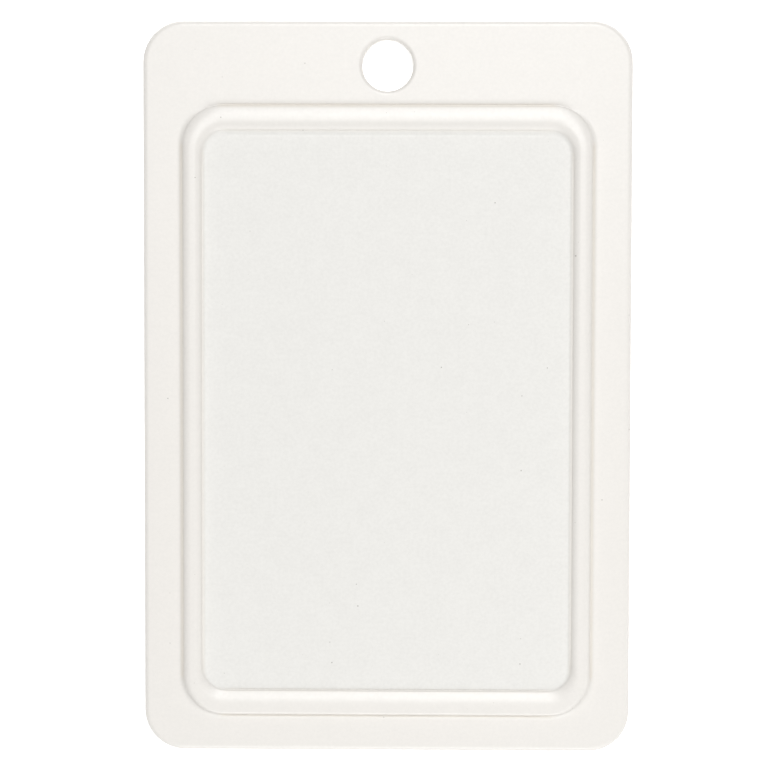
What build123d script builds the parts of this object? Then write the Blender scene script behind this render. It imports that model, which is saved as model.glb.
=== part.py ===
from build123d import *

import os
from math import radians, sin, tan

# A kitchen cutting board, moulded in one piece of white polyethylene.
#
# Millimetres. +Z is up, out of the working face. +Y runs along the length towards the
# end with the hang hole. The origin is on the face that lies on the counter, in the
# middle of the board. The board is symmetric about the YZ plane.

# The slab, which is the whole board except the bead.
board_width = 304.8  # 12 in, along X
board_length = 457.2  # 18 in, along Y
slab_thickness = 12.7  # 1/2 in
corner_radius = 25.4  # of the four corners, seen from above
top_edge_radius = 3.0  # round the rim of the working face
bottom_edge_radius = 3.0  # round the rim of the face that lies on the counter

# The hang hole, on the centre line near one end.
hole_diameter = 31.75  # 1 1/4 in
hole_to_end = 11.6  # plastic between the hole and the end of the board
hole_top_rim_radius = 2.5
hole_bottom_rim_radius = 2.0

# The bead, a low rounded ridge that runs round the field and keeps juice on it.
bead_height = 4.0  # above the slab
bead_flank_angle = 55.0  # slope of its sides, in degrees
bead_side_width = 13.7  # from foot to foot, along the two long runs
bead_end_width = 16.0  # the same, at the two ends
bead_outer_corner_radius = 26.0  # of the outer foot line
bead_inner_corner_radius = 14.0  # of the inner foot line
bead_to_side = 23.65  # flat border along the two long edges
bead_to_hole = 8.8  # flat between the hang hole and the bead
bead_to_plain_end = 22.0  # flat border at the end without a hole
bead_foot_radius = 2.5  # hollow rounding where the bead meets the slab
bead_flank_straight = 0.3  # straight stretch left in the middle of a flank
bead_crown_flat = 0.3  # least flat left along the top of the bead

# Sizes that follow from the ones above.
hole_radius = hole_diameter / 2
hole_y = board_length / 2 - hole_to_end - hole_radius
bead_hole_end_y = hole_y - hole_radius - bead_to_hole
bead_plain_end_y = -board_length / 2 + bead_to_plain_end
bead_centre_y = (bead_hole_end_y + bead_plain_end_y) / 2
bead_outer_width = board_width - 2 * bead_to_side
bead_outer_length = bead_hole_end_y - bead_plain_end_y
field_width = bead_outer_width - 2 * bead_side_width
field_length = bead_outer_length - 2 * bead_end_width

# A flank is shared out between the hollow rounding at its foot, a short straight stretch
# and the crown's rounding, so the crown is as round as the height of the bead allows. On a
# tall or narrow bead, the width of its flat top limits the crown instead.
flank_length = bead_height / sin(radians(bead_flank_angle))
half_turn = radians(bead_flank_angle / 2)
flank_allows = flank_length - bead_flank_straight - bead_foot_radius * tan(half_turn)
narrow_half_top = min(bead_side_width, bead_end_width) / 2 - bead_height / tan(radians(bead_flank_angle))
top_allows = narrow_half_top - bead_crown_flat / 2
crown_radius = min(flank_allows, top_allows) / tan(half_turn)


def rounded_block(width, length, radius, centre_y, bottom_z, height, draft=0.0):
    """A block with rounded corners that narrows upwards by the draft angle, in degrees."""
    outline = Pos(0, centre_y, bottom_z) * RectangleRounded(width, length, radius)
    return extrude(outline, amount=height, taper=draft)


def make_slab():
    slab = rounded_block(board_width, board_length, corner_radius, 0, 0, slab_thickness)
    slab = fillet(slab.edges().group_by(Axis.Z)[-1], top_edge_radius)
    return fillet(slab.edges().group_by(Axis.Z)[0], bottom_edge_radius)


def make_bead():
    """The ridge alone, standing on the slab, with its crown rounded and its feet sharp."""
    draft = 90 - bead_flank_angle
    outer = rounded_block(
        bead_outer_width, bead_outer_length, bead_outer_corner_radius,
        bead_centre_y, slab_thickness, bead_height, draft,
    )
    field = rounded_block(
        field_width, field_length, bead_inner_corner_radius,
        bead_centre_y, slab_thickness, bead_height, -draft,
    )
    bead = outer - field
    return fillet(bead.edges().group_by(Axis.Z)[-1], crown_radius)


def bead_feet(board):
    """The two closed lines of edges where the bead's flanks meet the top of the slab."""
    reach_x = bead_outer_width / 2 + bead_foot_radius
    reach_y = bead_outer_length / 2 + bead_foot_radius
    level = board.edges().filter_by_position(Axis.Z, slab_thickness - 0.01, slab_thickness + 0.01)
    within_x = level.filter_by_position(Axis.X, -reach_x, reach_x)
    return within_x.filter_by_position(Axis.Y, bead_centre_y - reach_y, bead_centre_y + reach_y)


def cut_hang_hole(board):
    drill = Cylinder(hole_radius, 3 * slab_thickness)
    board = board - Pos(0, hole_y, slab_thickness / 2) * drill
    rims = board.edges().filter_by(
        lambda edge: edge.geom_type == GeomType.CIRCLE and abs(edge.radius - hole_radius) < 0.001
    )
    board = fillet(rims.group_by(Axis.Z)[-1], hole_top_rim_radius)
    rims = board.edges().filter_by(
        lambda edge: edge.geom_type == GeomType.CIRCLE and abs(edge.radius - hole_radius) < 0.001
    )
    return fillet(rims.group_by(Axis.Z)[0], hole_bottom_rim_radius)


def make_board():
    board = make_slab() + make_bead()
    board = fillet(bead_feet(board), bead_foot_radius)
    return cut_hang_hole(board)


board = make_board()
os.makedirs("parts", exist_ok=True)
export_step(board, "parts/board.step")
print("crown radius", round(crown_radius, 3), "volume", round(board.volume), "valid", board.is_valid)
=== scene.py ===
# %% [markdown]
# # A moulded plastic cutting board
#
# The real thing is a single slab of white polyethylene with soft edges, a round hole to
# hang it by, and a low rounded ridge, the bead, that keeps juice on the working field.
# With one material and hardly any colour, everything you see of it is light on form: how
# the edges turn away, how crisp the bead stands, and how the satin skin scatters light.
# So this lesson spends its effort on a clean loft for the shape and a quiet material.

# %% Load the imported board
from math import cos, radians, sin, sqrt

import bmesh
import bpy
from mathutils import Matrix, Vector


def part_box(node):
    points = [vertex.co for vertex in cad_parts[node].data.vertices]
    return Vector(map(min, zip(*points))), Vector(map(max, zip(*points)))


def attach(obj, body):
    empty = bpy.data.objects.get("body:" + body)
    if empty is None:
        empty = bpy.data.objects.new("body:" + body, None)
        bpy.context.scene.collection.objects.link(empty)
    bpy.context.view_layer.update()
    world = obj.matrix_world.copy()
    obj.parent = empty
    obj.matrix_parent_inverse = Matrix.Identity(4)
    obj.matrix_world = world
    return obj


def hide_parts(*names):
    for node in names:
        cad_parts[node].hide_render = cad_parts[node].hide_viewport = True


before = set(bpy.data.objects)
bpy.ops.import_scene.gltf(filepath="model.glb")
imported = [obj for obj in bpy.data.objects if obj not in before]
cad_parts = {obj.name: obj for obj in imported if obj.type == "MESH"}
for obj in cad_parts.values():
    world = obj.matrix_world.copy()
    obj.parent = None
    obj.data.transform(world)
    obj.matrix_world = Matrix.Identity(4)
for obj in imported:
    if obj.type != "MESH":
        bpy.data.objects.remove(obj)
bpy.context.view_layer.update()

board_low, board_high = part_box("board")
print("the packed board measures", [round(size * 1000, 1) for size in board_high - board_low], "mm")

# %% [markdown]
# ## Sizes
#
# Blender works in metres here, so a small unit, `MM`, keeps the sizes readable. The length
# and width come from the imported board, which this model has to fill exactly. The rest
# are the sizes that the board was drawn with: its bead, its borders and its hole. The bead
# stands a little lower at the two ends than along the sides.

# %% Sizes of the board
MM = 0.001
SAME_PLACE = 0.001 * MM  # points nearer to each other than this are one point

board_width = board_high.x - board_low.x
board_length = board_high.y - board_low.y
bead_height = 4.0 * MM
bead_end_height = 3.0 * MM
slab_top = board_high.z - bead_height

corner_radius = 25.4 * MM
top_edge_radius = 3.0 * MM
bottom_edge_radius = 3.0 * MM

hole_radius = 31.75 / 2 * MM
hole_to_end = 11.6 * MM
hole_top_rim_radius = 2.5 * MM
hole_bottom_rim_radius = 2.0 * MM

bead_side_width = 13.7 * MM
bead_hole_end_width = 15.9 * MM
bead_plain_end_width = 16.3 * MM
bead_outer_corner_radius = 26.0 * MM
bead_inner_corner_radius = 14.0 * MM
bead_to_side = 23.65 * MM
bead_to_hole = 8.8 * MM
bead_to_plain_end = 22.0 * MM

hole_y = board_high.y - hole_to_end - hole_radius
bead_hole_end_y = hole_y - hole_radius - bead_to_hole
bead_plain_end_y = board_low.y + bead_to_plain_end
bead_y = (bead_hole_end_y + bead_plain_end_y) / 2
bead_width = board_width - 2 * bead_to_side
bead_length = bead_hole_end_y - bead_plain_end_y
field_width = bead_width - 2 * bead_side_width
field_length = bead_length - bead_hole_end_width - bead_plain_end_width
field_y = (bead_hole_end_y - bead_hole_end_width + bead_plain_end_y + bead_plain_end_width) / 2
print("the field is", round(field_width / MM, 1), "by", round(field_length / MM, 1), "mm")
print("the hole's centre is at y =", round(hole_y / MM, 1), "mm")

# %% [markdown]
# ## The loft
#
# A shape whose outline stays a rounded rectangle while its size and height change is best
# made as a loft: draw a stack of loops, then bridge each one to the next. It could also
# be a box with bevelled edges, but the bead's border is wider at the hole end than at
# the sides, which a bevel or an inset can't do, and a loft puts each edge loop exactly
# where the roundings need it.
#
# Each loop starts as a one-face grid. Scaling it sets its size, bevelling its four corner
# points rounds it, and deleting its face leaves the loop. Its straight runs are cut into
# short pieces so that later steps can shape the bead differently along a run and round a
# corner. All loops get the same number of cuts, and so bridge into clean quads.
#
# Bridging has one trap. Between two loops at nearly the same height, the operator can't tell
# which way they face, and may join them crossed over. So the loops are pulled far apart
# while they are bridged.

# %% One loop of the loft
CORNER_STEPS = 20
END_RUN_CUTS = 35
SIDE_RUN_CUTS = 55

shape = bmesh.new()


def rounded_loop(bm, width, length, radius, middle_y, height):
    """Adds a flat loop of edges, a rectangle with round corners, and returns its edges."""
    known = set(bm.edges)
    corners = bmesh.ops.create_grid(bm, x_segments=1, y_segments=1, size=0.5)["verts"]
    bmesh.ops.scale(bm, vec=(width, length, 1), verts=corners)
    bmesh.ops.translate(bm, vec=(0, middle_y, height), verts=corners)
    bmesh.ops.bevel(
        bm, geom=corners, affect="VERTICES", offset=radius, segments=CORNER_STEPS,
        profile=0.5, material=-1,
    )
    loop = [edge for edge in bm.edges if edge not in known]
    faces = list({face for edge in loop for face in edge.link_faces})
    bmesh.ops.delete(bm, geom=faces, context="FACES_ONLY")
    twice_a_corner_step = 3 * radius / CORNER_STEPS
    runs = [edge for edge in loop if edge.calc_length() > twice_a_corner_step]
    end_runs = [edge for edge in runs if abs(edge.verts[0].co.y - edge.verts[1].co.y) < SAME_PLACE]
    side_runs = [edge for edge in runs if edge not in end_runs]
    bmesh.ops.subdivide_edges(bm, edges=end_runs, cuts=END_RUN_CUTS)
    bmesh.ops.subdivide_edges(bm, edges=side_runs, cuts=SIDE_RUN_CUTS)
    return [edge for edge in bm.edges if edge not in known]


def skin(bm, loops):
    """Bridges each loop to the next. They stand a metre apart meanwhile, and then drop back."""
    heights = {}
    for place, loop in enumerate(loops):
        for vert in {vert for edge in loop for vert in edge.verts}:
            heights[vert] = vert.co.z
            vert.co.z = place
    for one, other in zip(loops, loops[1:]):
        bmesh.ops.bridge_loops(bm, edges=one + other)
    for vert, height in heights.items():
        vert.co.z = height


loop_edges = 4 * CORNER_STEPS + 2 * (END_RUN_CUTS + 1) + 2 * (SIDE_RUN_CUTS + 1)
print("every loop will have", loop_edges, "edges")

# %% [markdown]
# ## Round the rim
#
# From the side, the rim of the board is a quarter round at the bottom, a short upright
# wall, and another quarter round at the top. Each point of that side view is a pair: how
# far in from the outline, and how high.

# %% The rim's loops
RIM_STEPS = 8


def quarter_round(radius, steps):
    """Pairs (in from the wall, up from the flat) from the flat to the wall of a rounded edge."""
    turns = [radians(90) * step / steps for step in range(steps + 1)]
    return [(radius * (1 - sin(turn)), radius * (1 - cos(turn))) for turn in turns]


def outline_loop(bm, inset, height):
    width, length = board_width - 2 * inset, board_length - 2 * inset
    return rounded_loop(bm, width, length, corner_radius - inset, 0, height)


def rim_loops(bm):
    lower = quarter_round(bottom_edge_radius, RIM_STEPS)
    upper = [(inset, slab_top - drop) for inset, drop in quarter_round(top_edge_radius, RIM_STEPS)]
    return [outline_loop(bm, inset, height) for inset, height in lower + upper[::-1]]


rim = rim_loops(shape)
print("the rim has", len(rim), "loops of", len(rim[0]), "edges")

# %% [markdown]
# ## The bead
#
# The bead is not quite the same all the way round, so it is drawn as half sections, and the
# loft takes them point by point. Each starts out on the flat, sweeps to the foot line,
# climbs a small crisp step there, and then rises to the top along one arc. The step is what
# draws a clear line where the bead begins, because a plain arc would fade into the flat.
#
# Along the sides the flat sweeps well up into the foot. At the ends, the half that faces
# the hang hole rises slowly and the half that faces the plain end is steeper. The slow
# halves start just under the level of the slab, as if pressed into it.
#
# The two halves must not reach the same line at the top. If they did, two loops would lie
# on each other there and a dark crease would run along the crest, so at least half a
# millimetre is left between them.

# %% Half sections of the bead
APPROACH = [away * MM for away in (3.6, 2.6, 2.1, 1.6, 1.1, 0.6)]
STEP_LEAD = 0.4 * MM  # how far in the small step at the foot takes
CLIMB_STEPS = 10
CLIMB_CROWDING = 1.3  # over 1, the points of the climb crowd towards the foot


def half_section(top, reach, step, foot_in, foot_height, sweep):
    """Pairs (in from the bead's edge, up from the slab) from the flat to the top of the bead.

    The foot line lies foot_in inside the bead's edge, at foot_height. The flat starts to
    sweep up to it at the distance sweep, and the top is reach further in.
    """
    points = [(foot_in - away, foot_height * max(1 - away / sweep, 0) ** 2) for away in APPROACH]
    points.append((foot_in, foot_height))
    climb = top - foot_height - step
    span = reach - STEP_LEAD
    arc = (span ** 2 + climb ** 2) / (2 * climb)
    for count in range(CLIMB_STEPS + 1):
        inward = span * (count / CLIMB_STEPS) ** CLIMB_CROWDING
        height = top - arc + sqrt(arc ** 2 - (span - inward) ** 2)
        points.append((foot_in + STEP_LEAD + inward, height))
    return points


side_outer_half = half_section(
    bead_height, reach=5.0 * MM, step=0.5 * MM,
    foot_in=0.95 * MM, foot_height=1.5 * MM, sweep=3.0 * MM,
)
side_inner_half = half_section(
    bead_height, reach=5.0 * MM, step=0.5 * MM,
    foot_in=0.7 * MM, foot_height=1.25 * MM, sweep=2.6 * MM,
)
hole_end_outer_half = half_section(
    bead_end_height, reach=9.0 * MM, step=1.5 * MM,
    foot_in=0, foot_height=-0.45 * MM, sweep=3.6 * MM,
)
hole_end_inner_half = half_section(
    bead_end_height, reach=6.0 * MM, step=0.45 * MM,
    foot_in=0.3 * MM, foot_height=0.95 * MM, sweep=2.6 * MM,
)
plain_end_outer_half = half_section(
    bead_end_height, reach=2.2 * MM, step=1.2 * MM,
    foot_in=0.6 * MM, foot_height=0.8 * MM, sweep=3.6 * MM,
)
plain_end_inner_half = half_section(
    bead_end_height, reach=9.2 * MM, step=1.2 * MM,
    foot_in=0, foot_height=-0.2 * MM, sweep=3.0 * MM,
)
print("a half section has", len(side_outer_half), "points")

# %% [markdown]
# Each loop is laid out flat at the right place, and then its points are lifted: by the side
# section along the sides, by an end section along an end, and by a blend round a corner.
#
# The mould also left fine sharp lines along the straight parts of the feet. They fade out
# before the corners. A second, fainter one, the ledge, runs beyond the inner foot at the
# hole end.

# %% The bead's loops
SIDES, HOLE_END, PLAIN_END = range(3)
BEAD_WIDTHS = (bead_side_width, bead_hole_end_width, bead_plain_end_width)
LINE_FADE = 5.0 * MM
FOOT = len(APPROACH)  # the place of the foot line among a section's points
LEDGE = APPROACH.index(2.6 * MM)
NO_LINE = (0, 0, 0)
OUTER_LINES = {FOOT: (0.4 * MM, 0.6 * MM, 0.6 * MM)}
INNER_LINES = {FOOT: (0.6 * MM, 0.25 * MM, 0.85 * MM), LEDGE: (0, 0.2 * MM, 0)}


def bead_loop(bm, insets, rises, line_depths):
    """A loop of the bead. Each argument has a value for the sides, hole end and plain end."""
    side_in, hole_end_in, plain_end_in = insets
    share = side_in / bead_side_width
    radius_change = bead_inner_corner_radius - bead_outer_corner_radius
    radius = bead_outer_corner_radius + share * radius_change
    half_width = bead_width / 2 - side_in
    top_y, low_y = bead_hole_end_y - hole_end_in, bead_plain_end_y + plain_end_in
    middle_y, half_length = (top_y + low_y) / 2, (top_y - low_y) / 2
    loop = rounded_loop(bm, 2 * half_width, 2 * half_length, radius, middle_y, slab_top)
    for vert in {vert for edge in loop for vert in edge.verts}:
        end = HOLE_END if vert.co.y > middle_y else PLAIN_END
        beyond_x = abs(vert.co.x) - (half_width - radius)
        beyond_y = abs(vert.co.y - middle_y) - (half_length - radius)
        corner_x, corner_y = max(beyond_x, 0), max(beyond_y, 0)
        on_end = corner_y ** 2 / (corner_x ** 2 + corner_y ** 2)
        run = end if beyond_x < beyond_y else SIDES
        from_corner = max(-min(beyond_x, beyond_y), 0)
        vert.co.z += rises[SIDES] * (1 - on_end) + rises[end] * on_end
        vert.co.z -= line_depths[run] * min(from_corner / LINE_FADE, 1)
    return loop


def half_of_bead(bm, sections, lines, from_inner_edge=False):
    """The loops of one half, from the flat to the top. It has a section for each kind of run."""
    loops = []
    for place, points in enumerate(zip(*sections)):
        insets, rises = zip(*points)
        if from_inner_edge:
            insets = [width - inset for width, inset in zip(BEAD_WIDTHS, insets)]
        loops.append(bead_loop(bm, insets, rises, lines.get(place, NO_LINE)))
    return loops


outer_sections = (side_outer_half, hole_end_outer_half, plain_end_outer_half)
inner_sections = (side_inner_half, hole_end_inner_half, plain_end_inner_half)
outer_half = half_of_bead(shape, outer_sections, OUTER_LINES)
inner_half = half_of_bead(shape, inner_sections, INNER_LINES, from_inner_edge=True)
bead = outer_half + inner_half[::-1]
print("the bead has", len(bead), "loops of", len(bead[0]), "edges")

# %% [markdown]
# Both stacks of loops are complete now, so they can be bridged.

# %% Skin the rim and the bead
skin(shape, rim)
skin(shape, bead)
print("the rim and the bead have", len(shape.faces), "faces")

# %% [markdown]
# ## The hang hole
#
# A hole is a lathe job: draw half of its section once and spin it. The section is an
# upright line with a bevelled point at each end, which makes the two rounded rims.

# %% The hole's section, spun
HOLE_STEPS = 96
HOLE_RIM_STEPS = 8


def hang_hole(bm):
    """Spins the wall of the hole and returns its lower and its upper open loop."""
    known = set(bm.verts)
    section = [
        (hole_radius + hole_top_rim_radius, slab_top),
        (hole_radius, slab_top),
        (hole_radius, 0),
        (hole_radius + hole_bottom_rim_radius, 0),
    ]
    points = [bm.verts.new((out, hole_y, height)) for out, height in section]
    for one, other in zip(points, points[1:]):
        bm.edges.new((one, other))
    for point, radius in ((points[1], hole_top_rim_radius), (points[2], hole_bottom_rim_radius)):
        bmesh.ops.bevel(
            bm, geom=[point], affect="VERTICES", offset=radius, segments=HOLE_RIM_STEPS,
            profile=0.5, material=-1,
        )
    line = [vert for vert in bm.verts if vert not in known]
    edges = list({edge for vert in line for edge in vert.link_edges})
    bmesh.ops.spin(
        bm, geom=line + edges, cent=(0, hole_y, 0), axis=(0, 0, 1), angle=radians(360),
        steps=HOLE_STEPS, use_merge=True,
    )
    wall = [vert for vert in bm.verts if vert not in known]
    open_edges = {edge for vert in wall for edge in vert.link_edges if edge.is_boundary}
    upper = [edge for edge in open_edges if edge.verts[0].co.z > slab_top / 2]
    lower = [edge for edge in open_edges if edge.verts[0].co.z < slab_top / 2]
    return lower, upper


hole_lower, hole_upper = hang_hole(shape)
print("the hole's open loops have", len(hole_lower), "and", len(hole_upper), "edges")

# %% [markdown]
# ## Close the flats
#
# Three flats are still open: the underside, the border round the bead, which has the
# hole in it, and the field. Each is filled between its loops. Insetting the filled faces
# a little leaves a narrow ring, the guard, that holds the shading level up to the edge of
# the flat, so that each rounding starts where it should.

# %% Close the board and make it an object
GUARD = 0.5 * MM


def close_flat(bm, edges):
    filled = bmesh.ops.triangle_fill(bm, edges=edges, use_beauty=True, use_dissolve=False)["geom"]
    flat = [item for item in filled if isinstance(item, bmesh.types.BMFace)]
    bmesh.ops.inset_region(
        bm, faces=flat, thickness=GUARD, use_boundary=True, use_even_offset=True,
    )


def smooth_object(bm, name):
    bmesh.ops.remove_doubles(bm, verts=bm.verts, dist=SAME_PLACE)
    bmesh.ops.recalc_face_normals(bm, faces=bm.faces)
    for face in bm.faces:
        face.smooth = True
    mesh = bpy.data.meshes.new(name)
    bm.to_mesh(mesh)
    piece = bpy.data.objects.new(name, mesh)
    bpy.context.scene.collection.objects.link(piece)
    return piece


close_flat(shape, rim[0] + hole_lower)
close_flat(shape, rim[-1] + bead[0] + hole_upper)
close_flat(shape, bead[-1])
board = smooth_object(shape, "moulded_board")
open_edges = sum(not edge.is_manifold for edge in shape.edges)
print("the board has", len(shape.faces), "faces and", open_edges, "open edges")
print("its volume is", round(shape.calc_volume() * 1e6), "cubic centimetres")
shape.free()

# %% [markdown]
# ## Shader maths as Python
#
# A material's pattern is a sum of small functions of position. `Value` wraps a socket so
# that such sums can be written with Python's operators, and `Nodes` adds any other node.

# %% A socket that Python's operators work on
class Value:
    """A number that varies over the surface."""

    def __init__(self, nodes, socket):
        self.nodes = nodes
        self.socket = socket

    def math(self, operation, *others, clamp=False):
        settings = {"operation": operation, "use_clamp": clamp}
        return self.nodes.add("ShaderNodeMath", settings, dict(enumerate((self, *others))))[0]

    def __add__(self, other): return self.math("ADD", other)
    def __radd__(self, other): return self.math("ADD", other)
    def __sub__(self, other): return self.math("SUBTRACT", other)
    def __rsub__(self, other): return (self * -1) + other
    def __mul__(self, other): return self.math("MULTIPLY", other)
    def __rmul__(self, other): return self.math("MULTIPLY", other)
    def __truediv__(self, other): return self.math("DIVIDE", other)

    def over(self, low, high):
        """0 below low, 1 above high and a straight ramp between."""
        return ((self - low) / (high - low)).math("ADD", 0, clamp=True)

    def between(self, at_none, at_full):
        """Turns a share from 0 to 1 into a number between the two given."""
        return at_none + self * (at_full - at_none)


class Nodes:
    """The nodes of one material."""

    def __init__(self, name):
        self.material = bpy.data.materials.new(name)
        self.material.use_nodes = True
        self.tree = self.material.node_tree
        self.shader = self.tree.nodes["Principled BSDF"]

    def add(self, kind, settings=None, inputs=None):
        """Adds a node, sets it, fills its inputs and returns its outputs as values."""
        node = self.tree.nodes.new(kind)
        for setting, choice in (settings or {}).items():
            setattr(node, setting, choice)
        for place, given in (inputs or {}).items():
            self.feed(node.inputs[place], given)
        return [Value(self, output) for output in node.outputs]

    def feed(self, socket, given):
        if isinstance(given, Value):
            self.tree.links.new(given.socket, socket)
        else:
            socket.default_value = given

    def noise(self, place, lumps_to_a_metre, detail):
        inputs = {"Vector": place, "Scale": lumps_to_a_metre, "Detail": detail}
        return self.add("ShaderNodeTexNoise", None, inputs)[0]

    def mix(self, amount, one, other):
        """A colour between two colours. On this node they are inputs 6 and 7 and output 2."""
        settings = {"data_type": "RGBA"}
        return self.add("ShaderNodeMix", settings, {0: amount, 6: one, 7: other})[2]


# %% [markdown]
# ## The plastic
#
# Polyethylene is never a flat white. This board is a warm white with a satin skin. Its
# field has a finer, duller moulded texture than the polished bead and border, so it
# reads a shade cooler, and a faint cloudiness runs through it all. Along the straight
# parts of the bead's feet, a painted warm shade darkens the colour in the creases, and
# here and there a dark speck sits in the plastic.
#
# The masks for the field and for the painted shade in the creases come from one function:
# how far a point lies outside a rectangle with round corners, counting negative inside it.
# The function also says where the sides are straight, because the painted crease shade
# fades out round the corners.

# %% Masks of the finish
# how wide the painted shade along the creases at the bead's feet is
CREASE_CORE = 0.2 * MM
CREASE_REACH = 1.8 * MM


def distance_outside(x, y, width, length, radius, middle_y):
    beyond_x = x.math("ABSOLUTE") - (width / 2 - radius)
    beyond_y = (y - middle_y).math("ABSOLUTE") - (length / 2 - radius)
    out_x = beyond_x.math("MAXIMUM", 0)
    out_y = beyond_y.math("MAXIMUM", 0)
    round_corner = (out_x * out_x + out_y * out_y).math("SQRT")
    distance = round_corner + beyond_x.math("MAXIMUM", beyond_y).math("MINIMUM", 0) - radius
    straight = 1 - out_x.math("MINIMUM", out_y).over(0, LINE_FADE)
    return distance, straight


def crease(distance, middle):
    """The mask of the painted crease shade: 1 where the distance is near the middle of the crease,
    falling to 0 on both sides.
    """
    return 1 - (distance - middle).math("ABSOLUTE").over(CREASE_CORE, CREASE_REACH)


# %% [markdown]
# The specks are grit in the plastic, so they lie anywhere, each in its own size and
# darkness. A cellular pattern gives that at no cost: it has one point to a cell and a
# random colour for each, whose three channels decide whether the cell has a speck at all,
# how big it is and how dark.

# %% Specks in the plastic
SPECK_CELL = 17.0 * MM
SPECK_RADIUS = 0.55 * MM
SPECK_CORE = 0.5  # the share of its radius over which a speck is fully dark
SPECK_DRAW = (0.87, 0.88)  # a cell has a speck where its draw from 0 to 1 is above these
SMALLEST, FAINTEST = 0.35, 0.35  # against the largest and the darkest speck


def specks(nodes, place):
    """1 in a few small round spots, one to a cell at the most."""
    distance, draw = nodes.add(
        "ShaderNodeTexVoronoi", {"voronoi_dimensions": "2D"},
        {"Vector": place, "Scale": 1 / SPECK_CELL},
    )[:2]
    chance, size, dark = nodes.add("ShaderNodeSeparateColor", None, {0: draw})[:3]
    reach = size.between(SMALLEST, 1.0) * (SPECK_RADIUS / SPECK_CELL)
    spot = 1 - (distance / reach).over(SPECK_CORE, 1.0)
    return spot * chance.over(*SPECK_DRAW) * dark.between(FAINTEST, 1.0)


# %% [markdown]
# Everything the mould's texture and the painted crease shade do belongs to the upper side.
# The sides and the underside keep the plain white of the border, so a mask by height holds
# the rest back.
#
# Three sizes of noise serve three things: clouds and grain mottle the colour, the grain
# varies the gloss too, and the finest, the pebble, is the roughness that a finger feels.

# %% The plastic's nodes
BORDER_WHITE = (0.842, 0.817, 0.779, 1)
FIELD_WHITE = (0.805, 0.797, 0.768, 1)
# painted shade: a darker, warmer white laid into the colour along the creases at the bead's feet
PAINTED_CREASE_SHADE = (0.80, 0.745, 0.66, 1)
CLOUD_GREY = (0.62, 0.61, 0.585, 1)
SPECK_GREY = (0.36, 0.34, 0.31, 1)
UPPER_RAMP = (slab_top - 3.0 * MM, slab_top - 2.0 * MM)  # the finish sets in at this height
FIELD_EDGE = 1.0 * MM  # half the width over which the field's tone sets in
CREASE_INWARD = 0.3 * MM  # how far inside the bead's edges its creases lie
# how strongly the painted crease shade darkens and warms the outer and the inner creases
OUTER_CREASE_SHADE_STRENGTH, INNER_CREASE_SHADE_STRENGTH = 0.7, 0.25
CLOUD_SCALE, GRAIN_SCALE, PEBBLE_SCALE = 110.0, 480.0, 900.0  # lumps to a metre
CLOUD_DETAIL, GRAIN_DETAIL, PEBBLE_DETAIL = 3.0, 2.0, 2.0
NOISE_MEAN = 0.5
CLOUD_WEIGHT, GRAIN_WEIGHT = 0.45, 0.95
MEAN_MOTTLE, MOTTLE_SWING = 0.1, 0.5
BORDER_MOTTLE, BORDER_PEBBLE = 0.55, 0.4  # against 1 on the field
BORDER_ROUGHNESS, FIELD_ROUGHNESS, ROUGHNESS_SWING = 0.36, 0.48, 0.1
PEBBLE_STRENGTH, PEBBLE_DEPTH = 0.35, 0.05 * MM
PLASTIC_IOR = 1.5


def moulded_plastic():
    nodes = Nodes("white_polyethylene")
    place = nodes.add("ShaderNodeTexCoord")[3]  # the Object output
    x, y, z = nodes.add("ShaderNodeSeparateXYZ", None, {0: place})
    past_field, inner_straight = distance_outside(
        x, y, field_width, field_length, bead_inner_corner_radius, field_y,
    )
    past_bead, outer_straight = distance_outside(
        x, y, bead_width, bead_length, bead_outer_corner_radius, bead_y,
    )
    upper = z.over(*UPPER_RAMP)
    field = (1 - past_field.over(-FIELD_EDGE, FIELD_EDGE)) * upper
    # painted shade: masks of the creases at the bead's feet, straight parts only, where the colour
    # is darkened and warmed
    outer_crease_shade = crease(past_bead, -CREASE_INWARD) * outer_straight
    inner_crease_shade = crease(past_field, CREASE_INWARD) * inner_straight
    crease_shade = outer_crease_shade * OUTER_CREASE_SHADE_STRENGTH + inner_crease_shade * INNER_CREASE_SHADE_STRENGTH

    cloud = nodes.noise(place, CLOUD_SCALE, CLOUD_DETAIL)
    grain = nodes.noise(place, GRAIN_SCALE, GRAIN_DETAIL)
    pebble = nodes.noise(place, PEBBLE_SCALE, PEBBLE_DETAIL)

    shade = (cloud - NOISE_MEAN) * CLOUD_WEIGHT + (grain - NOISE_MEAN) * GRAIN_WEIGHT
    shade = shade * field.between(BORDER_MOTTLE, 1.0)
    white = nodes.mix(field, BORDER_WHITE, FIELD_WHITE)
    crease_shaded = nodes.mix(crease_shade * upper, white, PAINTED_CREASE_SHADE)
    mottle = (MEAN_MOTTLE + shade * MOTTLE_SWING).math("MAXIMUM", 0)
    clouded = nodes.mix(mottle, crease_shaded, CLOUD_GREY)
    specked = nodes.mix(specks(nodes, place) * upper, clouded, SPECK_GREY)

    mean_roughness = field.between(BORDER_ROUGHNESS, FIELD_ROUGHNESS)
    roughness = mean_roughness + (grain - NOISE_MEAN) * ROUGHNESS_SWING
    bump = nodes.add("ShaderNodeBump", None, {
        "Strength": PEBBLE_STRENGTH, "Distance": PEBBLE_DEPTH,
        "Height": pebble * field.between(BORDER_PEBBLE, 1.0),
    })[0]
    nodes.feed(nodes.shader.inputs["Base Color"], specked)
    nodes.feed(nodes.shader.inputs["Roughness"], roughness)
    nodes.feed(nodes.shader.inputs["Normal"], bump)
    nodes.feed(nodes.shader.inputs["IOR"], PLASTIC_IOR)
    return nodes.material


board.data.materials.append(moulded_plastic())
print("the plastic takes", len(board.data.materials[0].node_tree.nodes), "nodes")

# %% [markdown]
# ## Put the board in the frame
#
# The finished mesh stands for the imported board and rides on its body.

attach(board, "root")
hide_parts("board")
print(board.name, "stands for the board")

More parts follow.
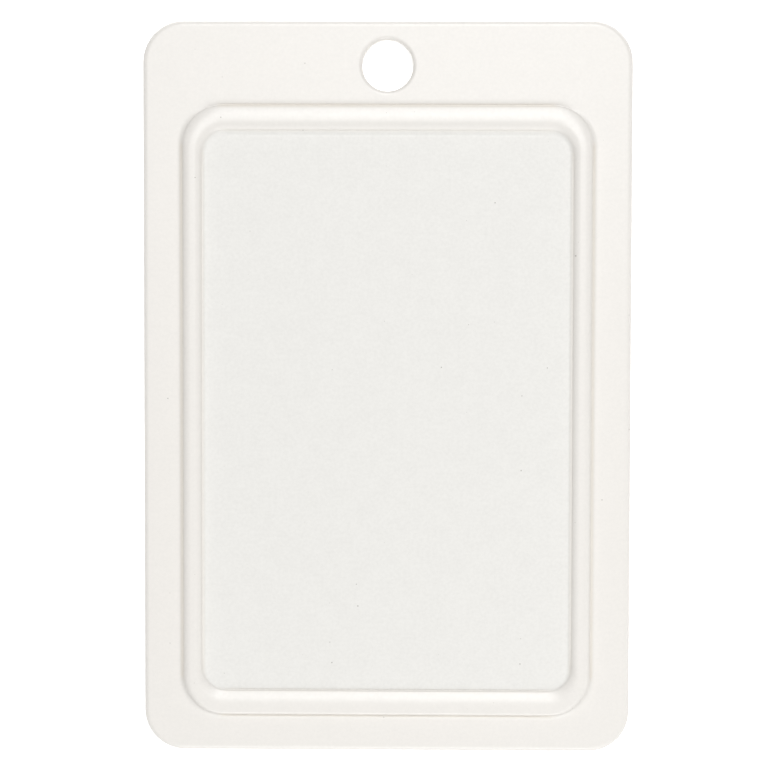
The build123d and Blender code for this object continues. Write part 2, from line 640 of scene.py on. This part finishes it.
# %% [markdown]
# ## The floor
#
# White on white needs care: if light comes evenly from everywhere, the form vanishes. The
# floor is a pale sheet that glows a little, so that it stays whiter than the board lying on
# it. It lies a hair below the board's underside, because two faces at the same height
# flicker through each other.

# %% A pale floor
FLOOR_GAP = 0.1 * MM
FLOOR_HALF_WIDTH = 3.0  # metres
FLOOR_WHITE = (0.95, 0.95, 0.95, 1)
FLOOR_ROUGHNESS = 0.9
FLOOR_GLOW = 0.45


def make_floor():
    bm = bmesh.new()
    corners = bmesh.ops.create_grid(bm, x_segments=1, y_segments=1, size=FLOOR_HALF_WIDTH)["verts"]
    bmesh.ops.translate(bm, vec=(0, 0, -FLOOR_GAP), verts=corners)
    mesh = bpy.data.meshes.new("floor")
    bm.to_mesh(mesh)
    bm.free()
    floor = bpy.data.objects.new("floor", mesh)
    bpy.context.scene.collection.objects.link(floor)
    nodes = Nodes("pale_floor")
    nodes.feed(nodes.shader.inputs["Base Color"], FLOOR_WHITE)
    nodes.feed(nodes.shader.inputs["Roughness"], FLOOR_ROUGHNESS)
    nodes.feed(nodes.shader.inputs["Emission Color"], (1, 1, 1, 1))
    nodes.feed(nodes.shader.inputs["Emission Strength"], FLOOR_GLOW)
    mesh.materials.append(nodes.material)
    return floor


floor = make_floor()
print("the", floor.name, "lies", round(FLOOR_GAP / MM, 2), "mm under the board")

# %% [markdown]
# ## The lights
#
# A large soft window stands high beyond the hole end and a little to the right, so the
# flanks of the bead that face it glow and the others fall off. That contrast is all that
# draws the bead. Two weak low panels stand for the walls of the room. The far one, beyond
# the plain end, keeps the turned-away flanks from going dead, and the near one, on the
# right, makes that side of the board a touch brighter. The room itself is dim and warm.

# %% Lights and surroundings
def softbox(name, bearing, lift, distance, wide, tall, power):
    """A soft panel aimed at the board. Bearing 0 is the right, 90 is beyond the hole end.

    Angles are in degrees, the distance and sizes in metres and the power in watts.
    """
    lamp = bpy.data.lights.new(name, "AREA")
    lamp.shape = "RECTANGLE"
    lamp.size = wide
    lamp.size_y = tall
    lamp.energy = power
    light = bpy.data.objects.new(name, lamp)
    turn, rise = radians(bearing), radians(lift)
    light.location = distance * Vector((cos(turn) * cos(rise), sin(turn) * cos(rise), sin(rise)))
    light.rotation_euler = (-light.location).to_track_quat("-Z", "Y").to_euler()
    bpy.context.scene.collection.objects.link(light)
    return light


def surroundings(strength, colour):
    world = bpy.data.worlds.new("studio")
    world.use_nodes = True
    sky = world.node_tree.nodes["Background"]
    sky.inputs["Color"].default_value = (*colour, 1)
    sky.inputs["Strength"].default_value = strength
    bpy.context.scene.world = world


lights = [
    softbox("window", bearing=85, lift=63, distance=5.0, wide=1.6, tall=4.0, power=217),
    softbox("far_wall", bearing=272, lift=32, distance=2.4, wide=1.4, tall=1.76, power=31),
    softbox("near_wall", bearing=338, lift=28, distance=1.0, wide=0.45, tall=0.45, power=0.7),
]
surroundings(strength=0.09, colour=(1.0, 0.985, 0.96))
print("lights:", ", ".join(light.name for light in lights))

# %% [markdown]
# ## The camera
#
# A long lens, high above, looks almost straight down. It stands a little towards the hole
# end and leans back a few degrees, which makes the plain end look a touch narrower, as when
# someone holds the camera by hand. The colours go to the screen as they are, so that white
# stays white.

# %% Camera
camera_distance = 1.8
camera_aim = Vector((-1.88 * MM, 2.81 * MM, slab_top))
camera_pitch, camera_yaw, camera_roll = radians(-3.471), radians(1.146), radians(0.176)
camera_data = bpy.data.cameras.new("camera")
camera_data.sensor_width = 36
camera_data.lens = 134.92
camera = bpy.data.objects.new("camera", camera_data)
pitched = Matrix.Rotation(camera_pitch, 3, "X")
turned = pitched @ Matrix.Rotation(camera_yaw, 3, "Y") @ Matrix.Rotation(camera_roll, 3, "Z")
camera.rotation_euler = turned.to_euler()
camera.location = camera_aim + turned @ Vector((0, 0, camera_distance))
bpy.context.scene.collection.objects.link(camera)
bpy.context.scene.camera = camera
bpy.context.scene.view_settings.view_transform = "Standard"
print("the camera stands", round(camera.location.z, 2), "m above the counter")
